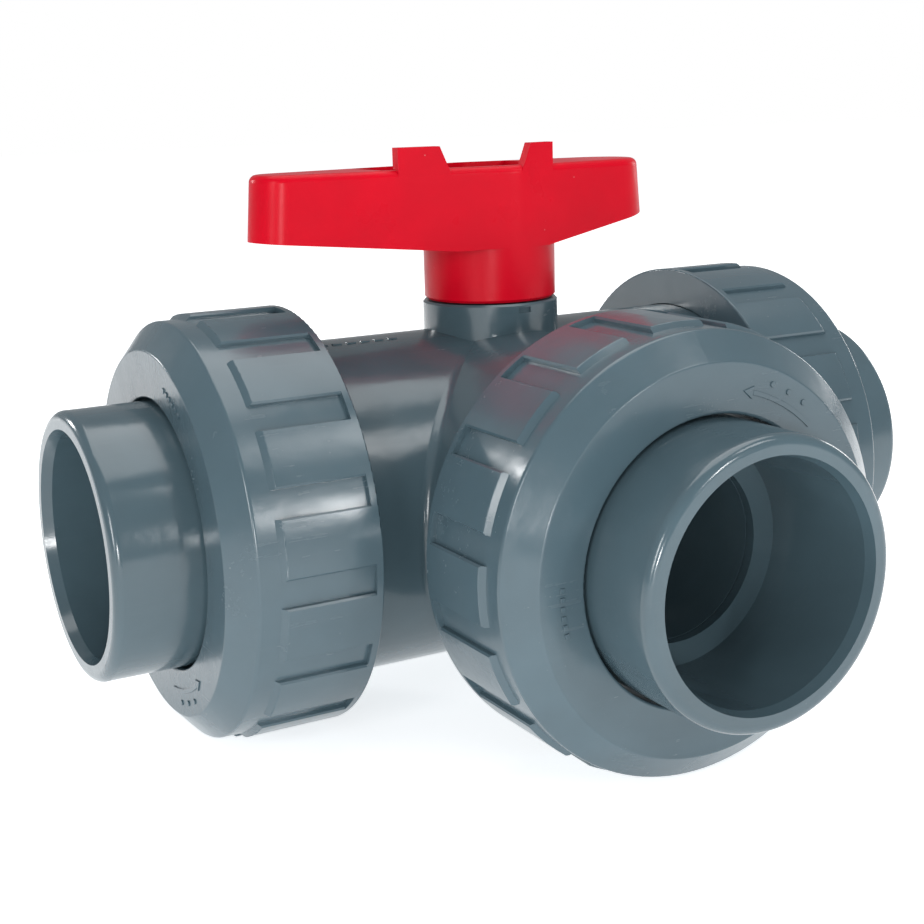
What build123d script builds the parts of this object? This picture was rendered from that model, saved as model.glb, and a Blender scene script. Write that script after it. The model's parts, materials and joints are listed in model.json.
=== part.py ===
from build123d import *
import math
import os

# Three-way ball valve in moulded plastic, with a union on each of its three ports.
# Millimetres. The origin is the centre of the ball, where the three port axes cross.
# +Z is up along the stem. Port a leaves along -X, port b along -Y and port c along +X.

# ---- ports -------------------------------------------------------------------
PORTS = {
    "a": Vector(-1, 0, 0),
    "b": Vector(0, -1, 0),
    "c": Vector(1, 0, 0),
}
NUT_TURN = {"a": 7.0, "b": 1.5, "c": 15.0}   # where each nut's ribs stand at rest, degrees
UP = Vector(0, 0, 1)
BLIND_SIDE = Vector(0, 1, 0)                 # the closed wall that faces port b

# ---- pipe socket and union end -------------------------------------------------
SOCKET_BORE_R = 31.6        # socket for a 63 mm pipe
SOCKET_WALL = 5.9
SOCKET_DEPTH = 38.0
SOCKET_LEAD_IN = 3.0        # length of the lead-in taper at the mouth
SOCKET_LEAD_IN_RISE = 0.9
SOCKET_MOUTH_ROUND = 2.6    # rounding of the mouth's outer edge
FLANGE_THICKNESS = 9.0
FLANGE_SOCKET_LAP = 3.0     # solid ring between the socket's floor and the union face
UNION_FACE_GAP = 0.1        # union face to the body's end
UNION_EDGE = 0.8

# ---- flow passage, ball and seats ----------------------------------------------
BORE_R = 25.0
BALL_TO_BORE = 1.66
BALL_CLEARANCE = 1.0        # ball to the wall of the body
SEAT_GAP = 0.05             # ball to seat, running fit
SEAT_LIP = 0.4              # how far the seat's edge stands back from the passage
SEAT_WALL = 4.0             # radial thickness of the seat ring
SEAT_FACE = 3.2             # width of the spherical face, measured on the radius
SEAT_LENGTH = 7.0
SEAT_FIT = 0.1              # seat ring in its pocket
CUSHION_SECTION_R = 0.95
CUSHION_SPACE = 2.0

# ---- body ------------------------------------------------------------------------
BODY_WALL = 6.5
BODY_THREAD_DEPTH = 1.8
BODY_THREAD_LENGTH = 20.0
THREAD_PITCH = 6.0
BODY_MITRE_ROUND = 3.0
BASE_PAD_R = 17.0           # round pad under the body
BASE_PAD_RISE = 2.0
BLIND_BOSS_WALL = 6.5       # closed wall behind the ball, around the blind seat
BLIND_BOSS_RISE = 2.5
BLIND_BOSS_EDGE = 2.0
BOSS_WALL = 9.4             # stem boss around the stem
BOSS_RISE = 8.3             # stem boss above the body
BOSS_EDGE = 0.6
INDEX_NOTCH_WIDTH = 4.0
INDEX_NOTCH_HEIGHT = 1.6
INDEX_NOTCH_DEPTH = 0.8
INDEX_NOTCH_BELOW_TOP = 1.9

# ---- face seal and seat carrier ---------------------------------------------------
FACE_RING_SECTION_R = 1.2
FACE_GROOVE_WIDTH = 2.6
FACE_GROOVE_DEPTH = 2.55
CARRIER_RECESS = 0.4        # carrier's outer end below the body's end face
CARRIER_FIT = 0.15
CARRIER_NOSE_GAP = 0.7      # keeps the 45 degree noses of neighbouring carriers apart
CARRIER_NOSE_WALL = 3.5
CARRIER_RING_SECTION_R = 1.2
CARRIER_RING_SETBACK = 9.5  # carrier seal beyond the crossing of the body's bores
CARRIER_GROOVE_WIDTH = 3.0
CARRIER_GROOVE_DEPTH = 2.35
KEY_SLOT_WIDTH = 6.0
KEY_SLOT_DEPTH = 4.0
KEY_SLOT_RUN = 6.0          # radial length of a key slot
KEY_SLOT_SETBACK = 2.5      # wall between a key slot and the passage
SEAL_SLACK = 0.05           # seal ring off its groove's floor

# ---- union nut ----------------------------------------------------------------------
NUT_WALL = 10.0             # nut's collar around the body
NUT_FACE_STEP = 7.4         # face of the nut inside its collar
NUT_LIP = 7.9
NUT_LIP_GAP = 0.1           # nut's lip behind the flange
NUT_HOLE_GAP = 0.9          # nut to the outside of the pipe socket
NUT_LENGTH = 40.7
NUT_SPACING = 7.85          # between the backs of neighbouring nuts
NUT_THREAD_GAP = 0.25
NUT_THREAD_DEPTH = 1.7
NUT_THREAD_START = 3.0      # first thread root behind the nut's rear end
NUT_CONE_LENGTH = 6.5
NUT_COLLAR_LENGTH = 7.2
NUT_SHOULDER_ROUND = 1.2
NUT_FACE_ROUND = 0.8
RIB_HEIGHT = 1.45
RIB_COUNT = 16
RIB_ANGLE = 15.2            # degrees that each rib spans
RIB_REAR_RING = 2.2
RIB_EDGE = 0.5

# ---- stem -----------------------------------------------------------------------------
STEM_R = 11.0
STEM_FIT = 0.08
STEM_FLANGE_WIDTH = 3.0
STEM_FLANGE_THICKNESS = 3.6
STEM_FLANGE_FIT = 0.3
WASHER_THICKNESS = 1.2
WASHER_GAP = 0.05
BLADE_OVERHANG = 1.0        # blade beyond the stem's radius
BLADE_THICKNESS = 9.8
BLADE_DEPTH = 6.9           # blade's reach into the ball
BLADE_GAP = 0.1             # stem flange above the ball
SLOT_FIT = 0.1
SLOT_FLOOR_GAP = 0.6
SQUARE_TO_STEM = 1.27
SQUARE_HEIGHT = 24.7        # square drive above the boss
SQUARE_FIT = 0.08
SQUARE_EDGE = 1.0
STEM_RING_SECTION_R = 1.1
STEM_GROOVE_DEPTH = 2.3
STEM_GROOVE_WIDTH = 2.6
STEM_RINGS_BELOW_TOP = {"lower": 8.0, "upper": 3.6}

# ---- lever handle -----------------------------------------------------------------------
HUB_STEP = 0.6              # hub inside the boss
HUB_GAP = 0.4               # hub above the boss
HUB_HEIGHT = 15.9           # hub's underside to the root of the lever
LEVER_HEIGHT = 23.6
LONG_TIP_AT = 68.0          # centre of the long arm's round tip
LONG_TIP_R = 9.2
SHORT_TIP_AT = 39.6
SHORT_TIP_R = 13.6
LEVER_TIP_LEAN = 2.0        # how far the tips lean outwards from top to bottom
LONG_TIP_RISE = 5.3         # underside at the tips above the root
SHORT_TIP_RISE = 7.6
LEVER_TOP_ROUND = 2.2
LEVER_LOW_ROUND = 0.8
HUB_EDGE = 0.8
LEVER_WALL = 3.4
POCKET_DEPTH = 11.0
POCKET_LONG_END = 40.0
POCKET_SHORT_END = 14.5
CORE_SKIN = 5.0             # left above the cores under the arms
CORES = ((-72.0, -44.0), (22.5, 48.0))
TAB_HEIGHT = 6.2
TABS = (                    # outer edge, inner edge at the top, inner edge at the root
    (-36.8, -24.5, -21.0),
    (11.8, 3.5, 0.0),
)
STOP_LUG_WIDTH = 3.0
STOP_LUG_SWEEP = 15.0       # degrees
STOP_LUG_HEIGHT = 2.6
STOP_LUG_START = 45.0       # where the lug stands at rest, degrees from +X
STOP_GROOVE_DEPTH = 3.2
STOP_GROOVE_FIT = 0.4
TURN_RANGE = 180.0
TURN_PLAY = 1.5             # degrees left at each end of the stop groove

# ---- radii that follow from the ones above ------------------------------------------------
SOCKET_OUTER_R = SOCKET_BORE_R + SOCKET_WALL
BALL_R = BORE_R * BALL_TO_BORE
BODY_BORE_R = BALL_R + BALL_CLEARANCE
BODY_R = BODY_BORE_R + BODY_WALL
BODY_THREAD_ROOT_R = BODY_R - BODY_THREAD_DEPTH
FACE_RING_R = (BODY_BORE_R + BODY_THREAD_ROOT_R) / 2
FLANGE_R = BODY_THREAD_ROOT_R - UNION_EDGE
NUT_HOLE_R = SOCKET_OUTER_R + NUT_HOLE_GAP
NUT_BORE_R = BODY_R + NUT_THREAD_GAP
NUT_THREAD_ROOT_R = NUT_BORE_R + NUT_THREAD_DEPTH
NUT_COLLAR_R = BODY_R + NUT_WALL
NUT_FACE_R = NUT_COLLAR_R - NUT_FACE_STEP
RIB_R = NUT_COLLAR_R + RIB_HEIGHT
SEAT_INNER_R = BORE_R + SEAT_LIP
SEAT_OUTER_R = SEAT_INNER_R + SEAT_WALL
SEAT_SPHERE_R = BALL_R + SEAT_GAP
SEAT_POCKET_R = SEAT_OUTER_R + SEAT_FIT
CUSHION_R = (SEAT_INNER_R + SEAT_OUTER_R) / 2
CARRIER_R = BODY_BORE_R - CARRIER_FIT
BLIND_BOSS_R = SEAT_POCKET_R + BLIND_BOSS_WALL
STEM_BORE_R = STEM_R + STEM_FIT
STEM_FLANGE_R = STEM_R + STEM_FLANGE_WIDTH
BOSS_R = STEM_R + BOSS_WALL
HUB_R = BOSS_R - HUB_STEP
STOP_LUG_R = (STEM_BORE_R + BOSS_R) / 2
SQUARE_SIDE = STEM_R * SQUARE_TO_STEM
BLADE_WIDTH = 2 * (STEM_R + BLADE_OVERHANG)

# ---- distances from the centre of the ball --------------------------------------------------
NUT_GRIP = NUT_LENGTH - NUT_LIP - NUT_LIP_GAP - FLANGE_THICKNESS     # nut's lap over the body
BODY_END = RIB_R + NUT_SPACING + NUT_GRIP
UNION_LENGTH = SOCKET_DEPTH + FLANGE_SOCKET_LAP
PORT_REACH = BODY_END + UNION_LENGTH
SEAT_START = math.sqrt(SEAT_SPHERE_R**2 - (SEAT_INNER_R + SEAT_FACE) ** 2)
SEAT_END = SEAT_START + SEAT_LENGTH
SEAT_POCKET_END = SEAT_END + CUSHION_SPACE
CARRIER_START = SEAT_POCKET_R + CARRIER_NOSE_WALL + CARRIER_NOSE_GAP
CARRIER_RING_AT = BODY_BORE_R + CARRIER_RING_SETBACK
THREAD_TURNS = int(BODY_THREAD_LENGTH / THREAD_PITCH)
BLADE_TOP = BALL_R + BLADE_GAP
BLADE_BOTTOM = BALL_R - BLADE_DEPTH
STEM_FLANGE_TOP = BLADE_TOP + STEM_FLANGE_THICKNESS
WASHER_TOP = STEM_FLANGE_TOP + WASHER_THICKNESS
BOSS_TOP = BODY_R + BOSS_RISE
BLIND_BOSS_REACH = BODY_R + BLIND_BOSS_RISE
BASE_PAD_REACH = BODY_R + BASE_PAD_RISE
STEM_RING_HEIGHTS = {level: BOSS_TOP - depth for level, depth in STEM_RINGS_BELOW_TOP.items()}
SQUARE_TOP = BOSS_TOP + SQUARE_HEIGHT
HUB_BOTTOM = BOSS_TOP + HUB_GAP
LEVER_ROOT_BOTTOM = HUB_BOTTOM + HUB_HEIGHT
LEVER_TOP = LEVER_ROOT_BOTTOM + LEVER_HEIGHT
LONG_END = LONG_TIP_AT + LONG_TIP_R
SHORT_END = SHORT_TIP_AT + SHORT_TIP_R
RIB_PITCH = 360 / RIB_COUNT


def side_plane(direction, turn=0):
    """Sketch plane that holds a port's axis: x runs outwards along the port, y is the radius."""
    radius_dir = UP.rotate(port_axis(direction), turn)
    return Plane(origin=(0, 0, 0), x_dir=direction, z_dir=direction.cross(radius_dir))


def end_plane(direction, distance):
    """Sketch plane across a port's axis, at a distance from the centre, x pointing up."""
    return Plane(origin=direction * distance, x_dir=UP, z_dir=direction)


def port_axis(direction):
    return Axis((0, 0, 0), direction)


def thread_grooves(start, crest_r, root_r):
    """Closed V profiles side by side, from the thread's crest to its root."""
    with BuildSketch() as grooves:
        for index in range(THREAD_TURNS):
            left = start + index * THREAD_PITCH
            with BuildLine():
                Polyline(
                    (left + THREAD_PITCH * 0.15, crest_r),
                    (left + THREAD_PITCH * 0.35, root_r),
                    (left + THREAD_PITCH * 0.65, root_r),
                    (left + THREAD_PITCH * 0.85, crest_r),
                    close=True,
                )
            make_face()
    return grooves.sketch


def sector(inner_r, outer_r, start, sweep):
    """Flat piece of a ring, start and sweep in degrees."""
    with BuildSketch() as flat:
        with BuildLine():
            inner = CenterArc((0, 0), inner_r, start, sweep)
            outer = CenterArc((0, 0), outer_r, start, sweep)
            Line(inner @ 0, outer @ 0)
            Line(inner @ 1, outer @ 1)
        make_face()
    return flat.sketch


def polar(radius, angle):
    """Point of a sketch at a radius and an angle in degrees."""
    return (radius * math.cos(math.radians(angle)), radius * math.sin(math.radians(angle)))


def rib_pocket(middle):
    """Cross-section of the pocket between two ribs, flared at the top to break the ribs' edges."""
    half = (RIB_PITCH - RIB_ANGLE) / 2
    flare = math.degrees(2 * RIB_EDGE / RIB_R)
    with BuildSketch() as pocket:
        with BuildLine():
            CenterArc((0, 0), NUT_COLLAR_R, middle - half, 2 * half)
            Polyline(
                polar(NUT_COLLAR_R, middle + half),
                polar(RIB_R - RIB_EDGE, middle + half),
                polar(RIB_R + RIB_EDGE, middle + half + flare),
                polar(RIB_R + RIB_EDGE, middle - half - flare),
                polar(RIB_R - RIB_EDGE, middle - half),
                polar(NUT_COLLAR_R, middle - half),
            )
        make_face()
    return pocket.sketch


def save(piece, label):
    piece.part.label = label
    export_step(piece.part, f"parts/{label}.step")


# ---- body ----------------------------------------------------------------------------------------
def make_body():
    run = PORTS["c"]
    branch = PORTS["b"]
    run_length = 2 * BODY_END
    with BuildPart() as body:
        # the run from port a to port c, and the branch to port b
        with BuildSketch(end_plane(run, -BODY_END)):
            Circle(BODY_R)
        extrude(amount=run_length)
        with BuildSketch(end_plane(branch, 0)):
            Circle(BODY_R)
        extrude(amount=BODY_END)
        # stem boss, base pad and the closed wall behind the ball
        with BuildSketch(Plane.XY):
            Circle(BOSS_R)
        extrude(amount=BOSS_TOP)
        with BuildSketch(Plane.XY):
            Circle(BASE_PAD_R)
        extrude(amount=-BASE_PAD_REACH)
        with BuildSketch(end_plane(BLIND_SIDE, 0)):
            Circle(BLIND_BOSS_R)
        extrude(amount=BLIND_BOSS_REACH)
        # soft edges where the branch leaves the run, and on the bosses
        slanted = body.edges().filter_by(GeomType.ELLIPSE)
        fillet(slanted, BODY_MITRE_ROUND)
        chamfer(body.edges().sort_by(Axis.Z)[-1], BOSS_EDGE)
        chamfer(body.edges().sort_by(Axis.Z)[0], BOSS_EDGE)
        chamfer(body.edges().sort_by(Axis.Y)[-1], BLIND_BOSS_EDGE)
        # bore for the ball and its carriers
        with BuildSketch(end_plane(run, -BODY_END)):
            Circle(BODY_BORE_R)
        extrude(amount=run_length, mode=Mode.SUBTRACT)
        with BuildSketch(end_plane(branch, 0)):
            Circle(BODY_BORE_R)
        extrude(amount=BODY_END, mode=Mode.SUBTRACT)
        # nose behind the ball, with the pocket for the blind seat
        with BuildSketch(side_plane(BLIND_SIDE)):
            with BuildLine():
                Polyline(
                    (CARRIER_START, 0),
                    (CARRIER_START, CARRIER_START - CARRIER_NOSE_GAP),
                    (BODY_BORE_R, BODY_BORE_R - CARRIER_NOSE_GAP),
                    (BODY_BORE_R, 0),
                    close=True,
                )
            make_face()
        revolve(axis=port_axis(BLIND_SIDE))
        with BuildSketch(end_plane(BLIND_SIDE, SEAT_START)):
            Circle(SEAT_POCKET_R)
        extrude(amount=SEAT_POCKET_END - SEAT_START, mode=Mode.SUBTRACT)
        Sphere(BODY_BORE_R, mode=Mode.SUBTRACT)
        # stem bore, with the pocket for the stem's flange and its washer
        with BuildSketch(Plane.XY.offset(BLADE_BOTTOM)):
            Circle(STEM_FLANGE_R + STEM_FLANGE_FIT)
        extrude(amount=WASHER_TOP + WASHER_GAP - BLADE_BOTTOM, mode=Mode.SUBTRACT)
        with BuildSketch(Plane.XY.offset(BLADE_BOTTOM)):
            Circle(STEM_BORE_R)
        extrude(amount=BOSS_TOP - BLADE_BOTTOM, mode=Mode.SUBTRACT)
        # stop groove in the boss, and the index notch that faces port b
        with BuildSketch(Plane.XY.offset(BOSS_TOP - STOP_GROOVE_DEPTH)):
            groove_inner = STOP_LUG_R - STOP_LUG_WIDTH / 2 - STOP_GROOVE_FIT
            groove_outer = STOP_LUG_R + STOP_LUG_WIDTH / 2 + STOP_GROOVE_FIT
            groove_start = STOP_LUG_START - STOP_LUG_SWEEP / 2 - TURN_PLAY
            groove_sweep = TURN_RANGE + STOP_LUG_SWEEP + 2 * TURN_PLAY
            add(sector(groove_inner, groove_outer, groove_start, groove_sweep))
        extrude(amount=STOP_GROOVE_DEPTH, mode=Mode.SUBTRACT)
        with BuildSketch(end_plane(branch, BOSS_R - INDEX_NOTCH_DEPTH)):
            with Locations((BOSS_TOP - INDEX_NOTCH_BELOW_TOP, 0)):
                Rectangle(INDEX_NOTCH_HEIGHT, INDEX_NOTCH_WIDTH)
        extrude(amount=2 * INDEX_NOTCH_DEPTH, mode=Mode.SUBTRACT)
        # threads and face seal grooves on the three ends
        for name, direction in PORTS.items():
            with BuildSketch(side_plane(direction)):
                add(thread_grooves(BODY_END - BODY_THREAD_LENGTH, BODY_R, BODY_THREAD_ROOT_R))
                with Locations((BODY_END - FACE_GROOVE_DEPTH / 2, FACE_RING_R)):
                    Rectangle(FACE_GROOVE_DEPTH, FACE_GROOVE_WIDTH)
            revolve(axis=port_axis(direction), mode=Mode.SUBTRACT)
    save(body, "valve_body")


# ---- ball, seats and seat carriers -------------------------------------------------------------------
def make_ball():
    with BuildPart() as ball:
        Sphere(BALL_R)
        # the two legs of the passage and the bend between them
        for direction in (PORTS["a"], PORTS["b"]):
            with BuildSketch(end_plane(direction, 0)):
                Circle(BORE_R)
            extrude(amount=BALL_R + 1, mode=Mode.SUBTRACT)
        Sphere(BORE_R, mode=Mode.SUBTRACT)
        # drive slot for the stem's blade, open at both ends so that the ball slides in
        with BuildSketch(Plane.XY.offset(BLADE_BOTTOM - SLOT_FLOOR_GAP)):
            Rectangle(BLADE_THICKNESS + 2 * SLOT_FIT, 2 * BALL_R)
        extrude(amount=BALL_R, mode=Mode.SUBTRACT)
    save(ball, "ball")


def make_seat(direction, label):
    with BuildPart() as seat:
        with BuildSketch(side_plane(direction)):
            with BuildLine():
                face_top = (SEAT_START, SEAT_INNER_R + SEAT_FACE)
                face_bottom = (math.sqrt(SEAT_SPHERE_R**2 - SEAT_INNER_R**2), SEAT_INNER_R)
                RadiusArc(face_top, face_bottom, SEAT_SPHERE_R)
                Polyline(
                    face_bottom,
                    (SEAT_END, SEAT_INNER_R),
                    (SEAT_END, SEAT_OUTER_R),
                    (SEAT_START, SEAT_OUTER_R),
                    face_top,
                )
            make_face()
        revolve(axis=port_axis(direction))
    save(seat, label)


def make_ring(direction, distance, ring_r, section_r, label):
    """O-ring whose centre line lies across an axis, at a distance from the centre."""
    with BuildPart() as ring:
        with BuildSketch(side_plane(direction)):
            with Locations((distance, ring_r)):
                Circle(section_r)
        revolve(axis=port_axis(direction))
    save(ring, label)


def make_carrier(name):
    direction = PORTS[name]
    end = BODY_END - CARRIER_RECESS
    with BuildPart() as carrier:
        with BuildSketch(side_plane(direction)):
            with BuildLine():
                Polyline(
                    (CARRIER_START, SEAT_POCKET_R),
                    (CARRIER_START, CARRIER_START - CARRIER_NOSE_GAP),
                    (CARRIER_R + CARRIER_NOSE_GAP, CARRIER_R),
                    (end, CARRIER_R),
                    (end, BORE_R),
                    (SEAT_POCKET_END, BORE_R),
                    (SEAT_POCKET_END, SEAT_POCKET_R),
                    close=True,
                )
            make_face()
            with Locations((CARRIER_RING_AT, CARRIER_R - CARRIER_GROOVE_DEPTH / 2 + 0.5)):
                Rectangle(CARRIER_GROOVE_WIDTH, CARRIER_GROOVE_DEPTH + 1, mode=Mode.SUBTRACT)
        revolve(axis=port_axis(direction))
        # blind key slots in the outer end
        slot_r = BORE_R + KEY_SLOT_SETBACK + KEY_SLOT_RUN / 2
        with BuildSketch(end_plane(direction, end - KEY_SLOT_DEPTH)):
            with Locations((0, slot_r), (0, -slot_r)):
                Rectangle(KEY_SLOT_WIDTH, KEY_SLOT_RUN)
        extrude(amount=KEY_SLOT_DEPTH, mode=Mode.SUBTRACT)
    save(carrier, f"seat_carrier_{name}")


# ---- unions -----------------------------------------------------------------------------------------------
def make_union_end(name):
    direction = PORTS[name]
    face = BODY_END + UNION_FACE_GAP
    mouth = PORT_REACH
    floor = mouth - SOCKET_DEPTH
    flange_back = BODY_END + FLANGE_THICKNESS
    with BuildPart() as end:
        with BuildSketch(side_plane(direction)) as profile:
            with BuildLine():
                Polyline(
                    (face, BORE_R),
                    (face, FLANGE_R),
                    (flange_back, FLANGE_R),
                    (flange_back, SOCKET_OUTER_R),
                    (mouth, SOCKET_OUTER_R),
                    (mouth, SOCKET_BORE_R + SOCKET_LEAD_IN_RISE),
                    (mouth - SOCKET_LEAD_IN, SOCKET_BORE_R),
                    (floor, SOCKET_BORE_R),
                    (floor, BORE_R),
                    close=True,
                )
            make_face()
            mouth_corner = profile.vertices().group_by(Axis.X)[-1].sort_by(Axis.Y)[-1]
            fillet(mouth_corner, SOCKET_MOUTH_ROUND)
            flange_corners = profile.vertices().group_by(Axis.Y)[-1]
            chamfer(flange_corners, UNION_EDGE)
        revolve(axis=port_axis(direction))
    save(end, f"union_end_{name}")


def make_union_nut(name):
    direction = PORTS[name]
    lip_inside = BODY_END + FLANGE_THICKNESS + NUT_LIP_GAP
    front = lip_inside + NUT_LIP
    rear = front - NUT_LENGTH
    cone_end = front - NUT_CONE_LENGTH
    rib_front = cone_end - NUT_COLLAR_LENGTH
    with BuildPart() as nut:
        # the turned shape: face, cone, collar, ribbed band and female thread
        with BuildSketch(side_plane(direction, NUT_TURN[name])) as profile:
            with BuildLine():
                Polyline(
                    (rear, NUT_BORE_R),
                    (rear, RIB_R),
                    (rib_front, RIB_R),
                    (rib_front + RIB_HEIGHT, NUT_COLLAR_R),
                    (cone_end, NUT_COLLAR_R),
                    (front, NUT_FACE_R),
                    (front, NUT_HOLE_R),
                    (lip_inside, NUT_HOLE_R),
                    (lip_inside, NUT_BORE_R),
                    close=True,
                )
            make_face()
            shoulder = profile.vertices().filter_by(lambda v: v.Y > NUT_FACE_R + 1 and v.X > cone_end - 1)
            fillet(shoulder, NUT_SHOULDER_ROUND)
            fillet(profile.vertices().group_by(Axis.X)[-1], NUT_FACE_ROUND)
            fillet(profile.vertices().group_by(Axis.Y)[-1], RIB_EDGE)
        revolve(axis=port_axis(direction))
        with BuildSketch(side_plane(direction, NUT_TURN[name])):
            add(thread_grooves(rear + NUT_THREAD_START, NUT_BORE_R, NUT_THREAD_ROOT_R))
        revolve(axis=port_axis(direction), mode=Mode.SUBTRACT)
        # pockets between the ribs, open towards the collar
        pocket_start = rear + RIB_REAR_RING
        with BuildSketch(end_plane(direction, pocket_start)):
            for index in range(RIB_COUNT):
                add(rib_pocket(NUT_TURN[name] + (index + 0.5) * RIB_PITCH))
        extrude(amount=rib_front + RIB_HEIGHT - pocket_start, mode=Mode.SUBTRACT)
    save(nut, f"union_nut_{name}")


# ---- stem -----------------------------------------------------------------------------------------------
def make_stem():
    with BuildPart() as stem:
        # blade that drives the ball
        with BuildSketch(Plane.XY.offset(BLADE_BOTTOM)):
            Rectangle(BLADE_THICKNESS, BLADE_WIDTH)
        extrude(amount=BLADE_TOP - BLADE_BOTTOM)
        # flange under the washer, and the shaft
        with BuildSketch(Plane.XY.offset(BLADE_TOP)):
            Circle(STEM_FLANGE_R)
        extrude(amount=STEM_FLANGE_THICKNESS)
        with BuildSketch(Plane.XY.offset(STEM_FLANGE_TOP)):
            Circle(STEM_R)
        extrude(amount=BOSS_TOP - STEM_FLANGE_TOP)
        for height in STEM_RING_HEIGHTS.values():
            with BuildSketch(Plane.XY.offset(height - STEM_GROOVE_WIDTH / 2)):
                Circle(STEM_R)
                Circle(STEM_R - STEM_GROOVE_DEPTH, mode=Mode.SUBTRACT)
            extrude(amount=STEM_GROOVE_WIDTH, mode=Mode.SUBTRACT)
        # square drive for the handle
        with BuildSketch(Plane.XY.offset(BOSS_TOP)):
            Rectangle(SQUARE_SIDE, SQUARE_SIDE)
        extrude(amount=SQUARE_TOP - BOSS_TOP)
        chamfer(stem.faces().sort_by(Axis.Z)[-1].edges(), SQUARE_EDGE)
    save(stem, "stem")


def make_stem_washer():
    with BuildPart() as washer:
        with BuildSketch(Plane.XY.offset(STEM_FLANGE_TOP)):
            Circle(STEM_FLANGE_R)
            Circle(STEM_R + STEM_FLANGE_FIT, mode=Mode.SUBTRACT)
        extrude(amount=WASHER_THICKNESS)
    save(washer, "stem_washer")


# ---- handle ---------------------------------------------------------------------------------------------
def lever_outline(lean=0, wall=0):
    """The lever seen from above: one skin around the hub and the two round tips."""
    with BuildSketch() as outline:
        Circle(HUB_R - wall)
        with Locations((lean - LONG_TIP_AT, 0)):
            Circle(LONG_TIP_R - wall)
        with Locations((SHORT_TIP_AT - lean, 0)):
            Circle(SHORT_TIP_R - wall)
        make_hull()
    return outline.sketch


def make_tabs():
    """The two tabs that stand on the top of the lever's front wall."""
    root = LEVER_TOP - LEVER_TOP_ROUND
    tip = LEVER_TOP + TAB_HEIGHT
    with BuildPart() as tabs:
        with BuildSketch(Plane.XY.offset(root)):
            add(lever_outline(LEVER_TIP_LEAN))
            add(lever_outline(LEVER_TIP_LEAN, LEVER_WALL), mode=Mode.SUBTRACT)
            with Locations((0, HUB_R)):
                Rectangle(4 * LONG_END, 2 * HUB_R, mode=Mode.SUBTRACT)
        extrude(amount=tip - root)
        with BuildSketch(Plane.XZ):
            for outer, inner_tip, inner_root in TABS:
                with BuildLine():
                    Polyline((outer, root), (outer, tip), (inner_tip, tip), (inner_root, root), close=True)
                make_face()
        extrude(amount=2 * HUB_R, both=True, mode=Mode.INTERSECT)
    return tabs.part


def make_handle():
    tabs = make_tabs()
    with BuildPart() as handle:
        # lever: its outline leans in towards the top, and its underside rises towards the tips
        with BuildSketch(Plane.XY.offset(LEVER_ROOT_BOTTOM)):
            add(lever_outline())
        with BuildSketch(Plane.XY.offset(LEVER_TOP)):
            add(lever_outline(LEVER_TIP_LEAN))
        loft(ruled=True)
        fillet(handle.faces().sort_by(Axis.Z)[-1].edges(), LEVER_TOP_ROUND)
        with BuildSketch(Plane.XZ):
            with BuildLine():
                Polyline(
                    (-HUB_R, LEVER_ROOT_BOTTOM),
                    (-LONG_END, LEVER_ROOT_BOTTOM + LONG_TIP_RISE),
                    (-LONG_END, LEVER_ROOT_BOTTOM),
                    close=True,
                )
            make_face()
            with BuildLine():
                Polyline(
                    (HUB_R / 2, LEVER_ROOT_BOTTOM),
                    (SHORT_END, LEVER_ROOT_BOTTOM + SHORT_TIP_RISE),
                    (SHORT_END, LEVER_ROOT_BOTTOM),
                    close=True,
                )
            make_face()
        extrude(amount=2 * HUB_R, both=True, mode=Mode.SUBTRACT)
        # hub
        with BuildSketch(Plane.XY.offset(HUB_BOTTOM)):
            Circle(HUB_R)
        extrude(amount=LEVER_ROOT_BOTTOM - HUB_BOTTOM)
        chamfer(handle.edges().group_by(Axis.Z)[0], HUB_EDGE)
        # pocket in the top, cores under the arms
        with BuildSketch(Plane.XY.offset(LEVER_TOP)):
            add(lever_outline(LEVER_TIP_LEAN, LEVER_WALL))
            with Locations(((POCKET_SHORT_END - POCKET_LONG_END) / 2, 0)):
                Rectangle(POCKET_SHORT_END + POCKET_LONG_END, 2 * HUB_R, mode=Mode.INTERSECT)
        extrude(amount=-POCKET_DEPTH, mode=Mode.SUBTRACT)
        for start, end in CORES:
            with BuildSketch(Plane.XY.offset(LEVER_TOP - CORE_SKIN)):
                add(lever_outline(LEVER_TIP_LEAN, LEVER_WALL))
                with Locations(((start + end) / 2, 0)):
                    Rectangle(end - start, 2 * HUB_R, mode=Mode.INTERSECT)
            extrude(amount=-LEVER_TOP + CORE_SKIN + LEVER_ROOT_BOTTOM, mode=Mode.SUBTRACT)
        add(tabs)
        # square hole for the stem, and the lug that runs in the stop groove
        with BuildSketch(Plane.XY.offset(HUB_BOTTOM)):
            Rectangle(SQUARE_SIDE + 2 * SQUARE_FIT, SQUARE_SIDE + 2 * SQUARE_FIT)
        extrude(amount=SQUARE_TOP + HUB_GAP - HUB_BOTTOM, mode=Mode.SUBTRACT)
        with BuildSketch(Plane.XY.offset(HUB_BOTTOM)):
            lug_inner = STOP_LUG_R - STOP_LUG_WIDTH / 2
            lug_outer = STOP_LUG_R + STOP_LUG_WIDTH / 2
            add(sector(lug_inner, lug_outer, STOP_LUG_START - STOP_LUG_SWEEP / 2, STOP_LUG_SWEEP))
        extrude(amount=-STOP_LUG_HEIGHT)
    save(handle, "handle")


# ---- build ------------------------------------------------------------------------------------------------
os.makedirs("parts", exist_ok=True)

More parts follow.
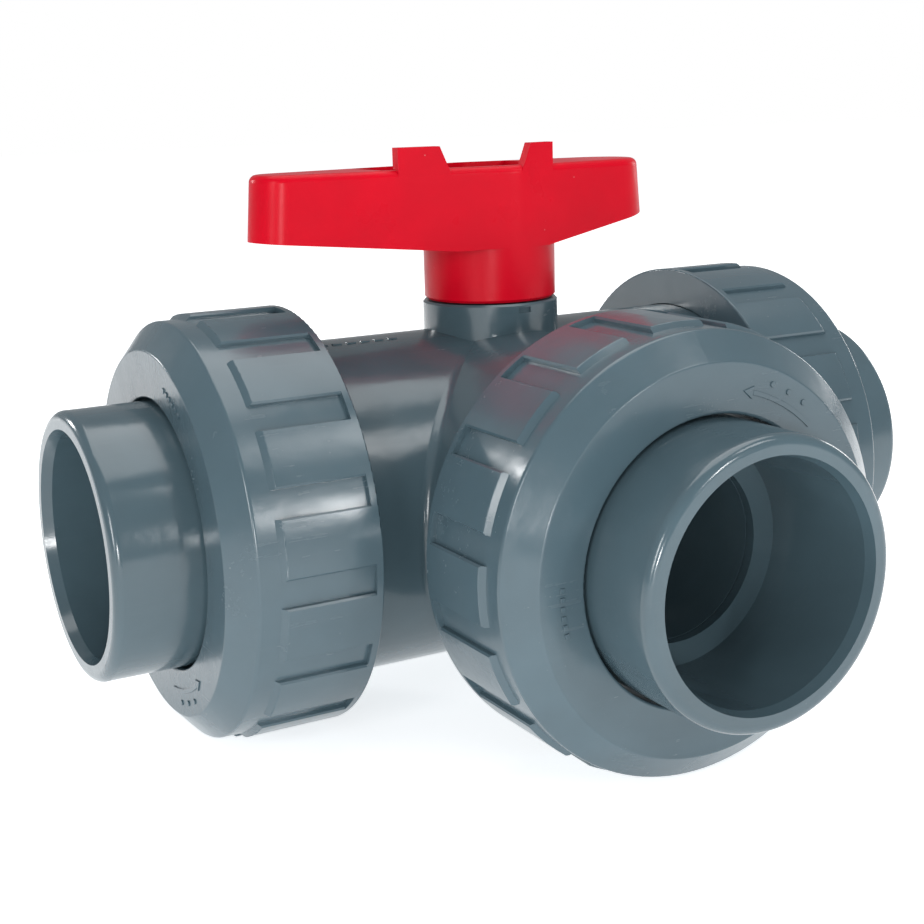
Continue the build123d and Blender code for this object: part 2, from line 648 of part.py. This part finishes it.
make_body()
make_ball()
for port, outward in {**PORTS, "blind": BLIND_SIDE}.items():
    make_seat(outward, f"ball_seat_{port}")
    make_ring(outward, SEAT_END + CUSHION_SPACE / 2, CUSHION_R, CUSHION_SECTION_R, f"seat_cushion_{port}")
for port, outward in PORTS.items():
    make_carrier(port)
    carrier_ring_r = CARRIER_R - CARRIER_GROOVE_DEPTH + SEAL_SLACK + CARRIER_RING_SECTION_R
    make_ring(outward, CARRIER_RING_AT, carrier_ring_r, CARRIER_RING_SECTION_R, f"carrier_o_ring_{port}")
    face_ring_at = BODY_END - FACE_GROOVE_DEPTH + SEAL_SLACK + FACE_RING_SECTION_R
    make_ring(outward, face_ring_at, FACE_RING_R, FACE_RING_SECTION_R, f"face_o_ring_{port}")
    make_union_end(port)
    make_union_nut(port)
make_stem()
make_stem_washer()
for level, height in STEM_RING_HEIGHTS.items():
    stem_ring_r = STEM_R - STEM_GROOVE_DEPTH + SEAL_SLACK + STEM_RING_SECTION_R
    with BuildPart() as stem_ring:
        with BuildSketch(Plane.XZ):
            with Locations((stem_ring_r, height)):
                Circle(STEM_RING_SECTION_R)
        revolve(axis=Axis.Z)
    save(stem_ring, f"stem_o_ring_{level}")
make_handle()
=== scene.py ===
import json
import math

import bmesh
import bpy
from mathutils import Matrix, Vector


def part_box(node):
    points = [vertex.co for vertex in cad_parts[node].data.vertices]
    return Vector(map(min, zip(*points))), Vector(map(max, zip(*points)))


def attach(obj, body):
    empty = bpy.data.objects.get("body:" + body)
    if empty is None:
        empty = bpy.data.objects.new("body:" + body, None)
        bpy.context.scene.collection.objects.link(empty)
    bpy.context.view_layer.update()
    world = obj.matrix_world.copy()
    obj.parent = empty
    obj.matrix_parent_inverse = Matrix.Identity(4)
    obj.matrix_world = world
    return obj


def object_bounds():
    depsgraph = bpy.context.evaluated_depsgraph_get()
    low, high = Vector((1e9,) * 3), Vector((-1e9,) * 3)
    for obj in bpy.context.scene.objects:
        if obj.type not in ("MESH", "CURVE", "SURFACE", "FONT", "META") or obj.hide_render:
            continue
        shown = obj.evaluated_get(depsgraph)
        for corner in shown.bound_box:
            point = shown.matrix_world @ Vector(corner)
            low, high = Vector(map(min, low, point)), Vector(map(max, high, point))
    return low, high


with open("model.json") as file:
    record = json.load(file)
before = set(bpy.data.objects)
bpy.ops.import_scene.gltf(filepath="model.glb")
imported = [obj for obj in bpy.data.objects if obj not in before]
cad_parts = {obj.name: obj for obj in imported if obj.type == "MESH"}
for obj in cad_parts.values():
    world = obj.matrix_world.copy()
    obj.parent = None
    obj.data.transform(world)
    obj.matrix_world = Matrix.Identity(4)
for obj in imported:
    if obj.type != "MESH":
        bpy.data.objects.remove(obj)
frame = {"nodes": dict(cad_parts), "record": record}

CAD_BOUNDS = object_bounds()

# ---- the ports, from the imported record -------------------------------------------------
MOUNTS = {m["name"]: m for m in frame["record"]["mounts"]}
PORTS = {name: Vector(MOUNTS[f"port_{name}"]["axis"]) for name in "abc"}
UP = Vector((0, 0, 1))


def along(box, direction):
    """Nearest and furthest distance of a box along a direction through the origin."""
    low, high = (Vector(corner).dot(direction) for corner in box)
    return min(low, high), max(low, high)


# ---- camera ------------------------------------------------------------------------------
IMAGE = 924
FOCAL_PX = 1554.55
SENSOR_MM = 36.0
CAMERA_AT = Vector((-0.23641, -0.40873, 0.11632))
CAMERA_AZIMUTH = math.radians(-28.84)
CAMERA_ELEVATION = math.radians(13.16)
CAMERA_ROLL = math.radians(-1.60)


def make_camera():
    back = Vector((
        math.sin(CAMERA_AZIMUTH) * math.cos(CAMERA_ELEVATION),
        -math.cos(CAMERA_AZIMUTH) * math.cos(CAMERA_ELEVATION),
        math.sin(CAMERA_ELEVATION),
    ))
    right = (-back).cross(UP).normalized()
    up = right.cross(-back)
    rolled_right = math.cos(CAMERA_ROLL) * right + math.sin(CAMERA_ROLL) * up
    rolled_up = -math.sin(CAMERA_ROLL) * right + math.cos(CAMERA_ROLL) * up
    data = bpy.data.cameras.new("camera")
    data.sensor_width = SENSOR_MM
    data.lens = FOCAL_PX / IMAGE * SENSOR_MM
    data.clip_start = 0.01
    camera = bpy.data.objects.new("camera", data)
    bpy.context.collection.objects.link(camera)
    axes = Matrix((rolled_right, rolled_up, back)).transposed()
    camera.matrix_world = Matrix.Translation(CAMERA_AT) @ axes.to_4x4()
    bpy.context.scene.camera = camera


# ---- materials -----------------------------------------------------------------------------
class Nodes:
    """Small helper for building a node material."""

    def __init__(self, name):
        self.material = bpy.data.materials.new(name)
        self.material.use_nodes = True
        self.tree = self.material.node_tree
        self.tree.nodes.clear()
        self.out = self.tree.nodes.new("ShaderNodeOutputMaterial")
        self.shader = self.tree.nodes.new("ShaderNodeBsdfPrincipled")
        self.link(self.shader.outputs[0], self.out.inputs[0])
        self.coords = self.tree.nodes.new("ShaderNodeTexCoord").outputs["Object"]

    def link(self, source, target):
        self.tree.links.new(source, target)

    def place(self, source, target):
        """Links a socket, or sets a plain value."""
        if isinstance(source, bpy.types.NodeSocket):
            self.link(source, target)
        else:
            target.default_value = source

    def mapped(self, scale=(1, 1, 1), offset=(0, 0, 0), turn=(0, 0, 0)):
        node = self.tree.nodes.new("ShaderNodeMapping")
        node.inputs["Location"].default_value = offset
        node.inputs["Rotation"].default_value = turn
        node.inputs["Scale"].default_value = scale
        self.link(self.coords, node.inputs["Vector"])
        return node.outputs[0]

    def noise(self, scale, detail=2.0, rough=0.5, vector=None, distortion=0.0):
        node = self.tree.nodes.new("ShaderNodeTexNoise")
        node.inputs["Scale"].default_value = scale
        node.inputs["Detail"].default_value = detail
        node.inputs["Roughness"].default_value = rough
        node.inputs["Distortion"].default_value = distortion
        self.link(vector or self.coords, node.inputs["Vector"])
        return node.outputs["Fac"]

    def cells(self, scale, vector=None):
        node = self.tree.nodes.new("ShaderNodeTexVoronoi")
        node.inputs["Scale"].default_value = scale
        self.link(vector or self.coords, node.inputs["Vector"])
        return node.outputs["Distance"]

    def ramp(self, source, low, high, out_low=0.0, out_high=1.0):
        node = self.tree.nodes.new("ShaderNodeMapRange")
        node.inputs["From Min"].default_value = low
        node.inputs["From Max"].default_value = high
        node.inputs["To Min"].default_value = out_low
        node.inputs["To Max"].default_value = out_high
        self.link(source, node.inputs["Value"])
        return node.outputs[0]

    def math(self, operation, first, second):
        node = self.tree.nodes.new("ShaderNodeMath")
        node.operation = operation
        self.place(first, node.inputs[0])
        self.place(second, node.inputs[1])
        return node.outputs[0]

    def mix(self, factor, first, second):
        node = self.tree.nodes.new("ShaderNodeMix")
        node.data_type = "RGBA"
        self.place(factor, node.inputs["Factor"])
        self.place(first, node.inputs[6])
        self.place(second, node.inputs[7])
        return node.outputs[2]

    def bump(self, heights):
        """Bumps chained one after another: (height socket, depth in metres)."""
        normal = None
        for height, depth in heights:
            node = self.tree.nodes.new("ShaderNodeBump")
            node.inputs["Strength"].default_value = 1.0
            node.inputs["Distance"].default_value = depth
            self.link(height, node.inputs["Height"])
            if normal is not None:
                self.link(normal, node.inputs["Normal"])
            normal = node.outputs[0]
        self.link(normal, self.shader.inputs["Normal"])


def rgba(color):
    return (*color, 1.0)


def scaled(color, factor):
    return rgba(tuple(min(1.0, channel * factor) for channel in color))


def moulded_plastic(name, color, rough=(0.16, 0.26), seed=0.0, worn=0.5, specks=0.0, specular=0.5):
    """Injection-moulded plastic: cloudy colour, flow lines, fine skin, handling scuffs and dust."""
    n = Nodes(name)
    moved = n.mapped(offset=(seed, seed * 0.7, seed * 0.3))
    cloud = n.noise(14, 5, 0.55, moved, 0.4)
    patch = n.noise(60, 4, 0.55, moved)
    skin = n.noise(2200, 2, 0.6, moved)
    ripple = n.noise(130, 2, 0.5, moved)
    streak_vector = n.mapped(scale=(25, 520, 520), offset=(seed, 0, seed), turn=(0.2, 0.5, 0.9))
    streak = n.noise(1.0, 4, 0.65, streak_vector)
    scratch_vector = n.mapped(scale=(1500, 45, 1500), offset=(0, seed, seed), turn=(0.7, 0.3, 0.35))
    scratch = n.noise(1.0, 2, 0.5, scratch_vector)
    tone = n.mix(n.ramp(cloud, 0.32, 0.68), scaled(color, 0.86), scaled(color, 1.14))
    tone = n.mix(n.ramp(patch, 0.40, 0.80, 0.0, 0.5), tone, scaled(color, 0.88))
    scuffs = n.math("MULTIPLY", n.ramp(streak, 0.52, 0.85), n.ramp(patch, 0.45, 0.80))
    hairlines = n.math("MULTIPLY", n.ramp(scratch, 0.68, 0.80), n.ramp(cloud, 0.45, 0.75))
    wear = n.math("MAXIMUM", scuffs, hairlines)
    pale = tuple(0.75 * channel + 0.07 for channel in color)
    tone = n.mix(n.math("MULTIPLY", wear, 0.45 * worn), tone, rgba(pale))
    dots = n.ramp(n.cells(260, moved), 0.075, 0.035)
    dots = n.math("MULTIPLY", dots, n.ramp(patch, 0.56, 0.62))
    dust = tuple(0.5 * channel + 0.34 for channel in color)
    tone = n.mix(n.math("MULTIPLY", dots, specks), tone, rgba(dust))
    n.link(tone, n.shader.inputs["Base Color"])
    gloss = n.ramp(patch, 0.3, 0.7, rough[0], rough[1])
    gloss = n.math("ADD", gloss, n.math("MULTIPLY", wear, 0.25 * worn))
    n.link(gloss, n.shader.inputs["Roughness"])
    n.shader.inputs["IOR"].default_value = 1.53
    n.shader.inputs["Specular IOR Level"].default_value = specular
    n.bump([(ripple, 0.00010), (skin, 0.000010), (wear, 0.00002)])
    return n.material


def seat_material(name, color):
    """Waxy turned fluoropolymer with a cloudy tone and a fine grain."""
    n = Nodes(name)
    cloud = n.noise(60, 3)
    grain = n.noise(1500, 3, 0.6)
    tone = n.mix(n.ramp(cloud, 0.3, 0.7), scaled(color, 0.92), scaled(color, 1.05))
    n.link(tone, n.shader.inputs["Base Color"])
    n.link(n.ramp(grain, 0.3, 0.7, 0.38, 0.55), n.shader.inputs["Roughness"])
    n.shader.inputs["Subsurface Weight"].default_value = 0.08
    n.shader.inputs["Subsurface Radius"].default_value = (0.002, 0.002, 0.002)
    n.bump([(grain, 0.00002)])
    return n.material


def rubber_material(name):
    n = Nodes(name)
    cloud = n.noise(120, 3)
    grain = n.noise(3000, 3, 0.6)
    tone = n.mix(n.ramp(cloud, 0.3, 0.7), rgba((0.012, 0.012, 0.013)), rgba((0.026, 0.026, 0.028)))
    n.link(tone, n.shader.inputs["Base Color"])
    n.link(n.ramp(grain, 0.3, 0.7, 0.45, 0.65), n.shader.inputs["Roughness"])
    n.bump([(grain, 0.00002)])
    return n.material


GREY = (0.055, 0.089, 0.107)
GREY_NUT = (0.057, 0.093, 0.113)
GREY_BALL = (0.045, 0.060, 0.070)
RED = (0.52, 0.0008, 0.012)

MATERIALS = {
    "body": moulded_plastic("body_plastic", GREY, (0.15, 0.24), 0.0, 0.7, 0.25),
    "end": moulded_plastic("end_plastic", GREY, (0.12, 0.20), 3.7, 0.6, 0.25),
    "nut": moulded_plastic("nut_plastic", GREY_NUT, (0.17, 0.27), 7.9, 0.8, 0.3),
    "handle": moulded_plastic("handle_plastic", RED, (0.26, 0.36), 1.3, 0.08, 0.4, 0.10),
    "ball": moulded_plastic("ball_plastic", GREY_BALL, (0.08, 0.14), 5.1, 0.2, 0.1),
    "seat": seat_material("seat_plastic", (0.80, 0.79, 0.75)),
    "rubber": rubber_material("seal_rubber"),
}


def material_for(node):
    if "o_ring" in node or "cushion" in node:
        return MATERIALS["rubber"]
    if "ball_seat" in node or "washer" in node:
        return MATERIALS["seat"]
    if "nut" in node:
        return MATERIALS["nut"]
    if "union_end" in node:
        return MATERIALS["end"]
    if node == "handle":
        return MATERIALS["handle"]
    if node in ("ball", "stem"):
        return MATERIALS["ball"]
    return MATERIALS["body"]


for node_name, node_object in frame["nodes"].items():
    for material_slot in node_object.material_slots:
        material_slot.material = material_for(node_name)


# ---- raised marks: plain arrows, dashes and dots where a moulding carries its lettering ------------
MARK_HEIGHT = 0.00035
MARK_SINK = 0.0004
MARK_BEVEL = 0.00012
STROKE = 0.0013
DOT_R = 0.0008
DOTS_OUT = 0.0034         # dots beyond the arrow's radius
ARROW_HALF_SWEEP = 14     # degrees
ARROW_INSET = 0.0006      # arrow inside the radius of the dashes
DASH_PITCH = 3.0          # degrees
DASH_SHARE = 0.55         # of the pitch that a dash fills


def prism(bm, outline, low, high):
    """A flat shape raised between two surfaces: outline points are passed to low and high."""
    bottom = [bm.verts.new(low(p)) for p in outline]
    top = [bm.verts.new(high(p)) for p in outline]
    bm.faces.new(top)
    bm.faces.new(bottom[::-1])
    for k in range(len(outline)):
        nxt = (k + 1) % len(outline)
        bm.faces.new((bottom[k], bottom[nxt], top[nxt], top[k]))


def finish_mark(bm, name, material, body):
    bmesh.ops.recalc_face_normals(bm, faces=bm.faces)
    mesh = bpy.data.meshes.new(name)
    bm.to_mesh(mesh)
    bm.free()
    mesh.materials.append(material)
    mark = bpy.data.objects.new(name, mesh)
    bpy.context.collection.objects.link(mark)
    bevel = mark.modifiers.new("soft", "BEVEL")
    bevel.width = MARK_BEVEL
    bevel.segments = 2
    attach(mark, body)
    return mark


def arc_strip(radius, width, start, sweep, steps=14):
    """Outline of a curved bar, as (radius, angle) points."""
    angles = [start + sweep * k / steps for k in range(steps + 1)]
    outer = [(radius + width / 2, a) for a in angles]
    inner = [(radius - width / 2, a) for a in reversed(angles)]
    return outer + inner


def arrow_head(radius, width, at):
    length = 2.4 * width / radius
    return [(radius + 1.3 * width, at), (radius, at + length), (radius - 1.3 * width, at)]


def dot(radius, size, at, steps=12):
    points = []
    for k in range(steps):
        turn = 2 * math.pi * k / steps
        points.append((radius + size * math.sin(turn), at + size * math.cos(turn) / radius))
    return points


def nut_mark(port, name, outlines):
    """Raised shapes on a nut's front face; angles run counter-clockwise from up, seen from outside."""
    direction = PORTS[port]
    face = along(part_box(f"union_nut_{port}"), direction)[1]
    side = direction.cross(UP)

    def at(offset):
        def place(point):
            radius, angle = point
            across = UP * math.cos(angle) + side * math.sin(angle)
            return direction * (face + offset) + across * radius
        return place

    bm = bmesh.new()
    for outline in outlines:
        prism(bm, outline, at(-MARK_SINK), at(MARK_HEIGHT))
    finish_mark(bm, f"{name}_{port}", MATERIALS["nut"], f"nut_{port}")


def unscrew_arrow(radius, middle):
    half = math.radians(ARROW_HALF_SWEEP)
    return [
        arc_strip(radius, STROKE, middle - half, 2 * half),
        arrow_head(radius, STROKE, middle + half),
        dot(radius + DOTS_OUT, DOT_R, middle - half / 2),
        dot(radius + DOTS_OUT, DOT_R, middle),
        dot(radius + DOTS_OUT, DOT_R, middle + half / 2),
    ]


def dashes(radius, middle, count):
    """A row of equal short arcs around the face."""
    pitch = math.radians(DASH_PITCH)
    starts = [middle + pitch * (k - count / 2) for k in range(count)]
    return [arc_strip(radius, STROKE, start, DASH_SHARE * pitch, 4) for start in starts]


NUT_R = (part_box("union_nut_a")[1][2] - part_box("union_nut_a")[0][2]) / 2
FACE_R = 0.745 * NUT_R     # middle of the nut's front face
ARROW_AT = {"a": 200, "b": 330, "c": 80}
DASHES_AT = {"a": (335, 95), "b": (97, 205), "c": (250, 10)}
DASH_COUNTS = (6, 4)
for port in PORTS:
    nut_mark(port, "turn_arrow", unscrew_arrow(FACE_R - ARROW_INSET, math.radians(ARROW_AT[port])))
    for index, at in enumerate(DASHES_AT[port]):
        nut_mark(port, f"dashes_{index}", dashes(FACE_R, math.radians(at), DASH_COUNTS[index]))


BODY_TUBE_R = 0.0490
BODY_DASH_START = -0.0600
BODY_DASH_PITCH = 0.0044
BODY_DASH_LENGTH = 0.0028
BODY_DASH_SIDES = (-0.0062, -0.0048)
BODY_DASH_COUNT = 6


def on_tube(offset):
    """Places a point (x, y) at an offset from the top of the run."""
    def place(point):
        x, y = point
        return Vector((x, y, math.sqrt(BODY_TUBE_R**2 - y**2) + offset))
    return place


def body_marks():
    """A row of raised dashes along the top of the run, between the stem boss and the nut of port a."""
    near, far = BODY_DASH_SIDES
    bm = bmesh.new()
    for k in range(BODY_DASH_COUNT):
        start = BODY_DASH_START + BODY_DASH_PITCH * k
        end = start + BODY_DASH_LENGTH
        outline = [(start, near), (end, near), (end, far), (start, far)]
        prism(bm, outline, on_tube(-MARK_SINK), on_tube(MARK_HEIGHT))
    finish_mark(bm, "body_marks", MATERIALS["body"], "body_group")


body_marks()


# ---- light and floor ---------------------------------------------------------------------------
FLOOR_HALF = 6.0
FLOOR_GAP = 0.0002        # floor below the lowest point of the valve


def area_light(name, toward, reach, target, size, size_y, power):
    """A soft box that stands at a distance in a direction and faces the target."""
    data = bpy.data.lights.new(name, "AREA")
    data.energy = power
    data.shape = "RECTANGLE"
    data.size = size
    data.size_y = size_y
    light = bpy.data.objects.new(name, data)
    bpy.context.collection.objects.link(light)
    light.location = Vector(toward).normalized() * reach
    aim = Vector(target) - light.location
    light.rotation_euler = aim.to_track_quat("-Z", "Y").to_euler()


def make_floor():
    floor_z = CAD_BOUNDS[0][2] - FLOOR_GAP
    half = FLOOR_HALF
    mesh = bpy.data.meshes.new("floor")
    mesh.from_pydata(
        [(-half, -half, floor_z), (half, -half, floor_z), (half, half, floor_z), (-half, half, floor_z)],
        [], [(0, 1, 2, 3)],
    )
    floor = bpy.data.objects.new("floor", mesh)
    bpy.context.collection.objects.link(floor)
    n = Nodes("floor_paint")
    tone = n.mix(n.ramp(n.noise(3, 3), 0.3, 0.7), rgba((0.93, 0.93, 0.93)), rgba((0.96, 0.96, 0.96)))
    n.link(tone, n.shader.inputs["Base Color"])
    n.shader.inputs["Roughness"].default_value = 0.9
    n.shader.inputs["Specular IOR Level"].default_value = 0.1
    n.shader.inputs["Emission Color"].default_value = (0.97, 0.985, 1.0, 1)
    n.shader.inputs["Emission Strength"].default_value = 0.70
    mesh.materials.append(n.material)


def make_world():
    """White to look at, greyer as a light."""
    world = bpy.data.worlds.new("studio")
    world.use_nodes = True
    nodes, links = world.node_tree.nodes, world.node_tree.links
    seen = nodes["Background"]
    seen.inputs["Color"].default_value = (1, 1, 1, 1)
    seen.inputs["Strength"].default_value = 1.0
    lit = nodes.new("ShaderNodeBackground")
    lit.inputs["Color"].default_value = (0.94, 0.97, 1.0, 1)
    lit.inputs["Strength"].default_value = 0.38
    path = nodes.new("ShaderNodeLightPath")
    both = nodes.new("ShaderNodeMixShader")
    links.new(path.outputs["Is Camera Ray"], both.inputs[0])
    links.new(lit.outputs[0], both.inputs[1])
    links.new(seen.outputs[0], both.inputs[2])
    links.new(both.outputs[0], nodes["World Output"].inputs[0])
    bpy.context.scene.world = world


make_camera()
make_floor()
make_world()
area_light("top_box", (0.1, 0.1, 1.0), 1.2, (0, 0, 0), 1.1, 1.1, 10)
area_light("front_strip", (0.315, -0.92, 0.24), 1.3, (0, 0, 0), 0.07, 0.22, 2.6)
area_light("high_front_box", (0.40, -0.57, 0.73), 1.3, (0, 0, 0), 0.45, 0.30, 2.2)
area_light("front_left_box", (-0.85, -0.60, 0.30), 1.5, (0, -0.05, 0), 0.30, 0.55, 6.5)
area_light("camera_side_box", (-0.42, -0.88, 0.10), 1.1, (0, -0.08, 0), 0.10, 0.10, 3)
area_light("left_back_box", (-0.52, 0.80, 0.30), 1.2, (-0.03, -0.11, 0.02), 0.10, 0.22, 2.2)
area_light("right_back_box", (0.95, 0.28, 0.20), 1.2, (0, 0, 0), 0.12, 0.30, 1.2)
bpy.context.scene.view_settings.view_transform = "Standard"
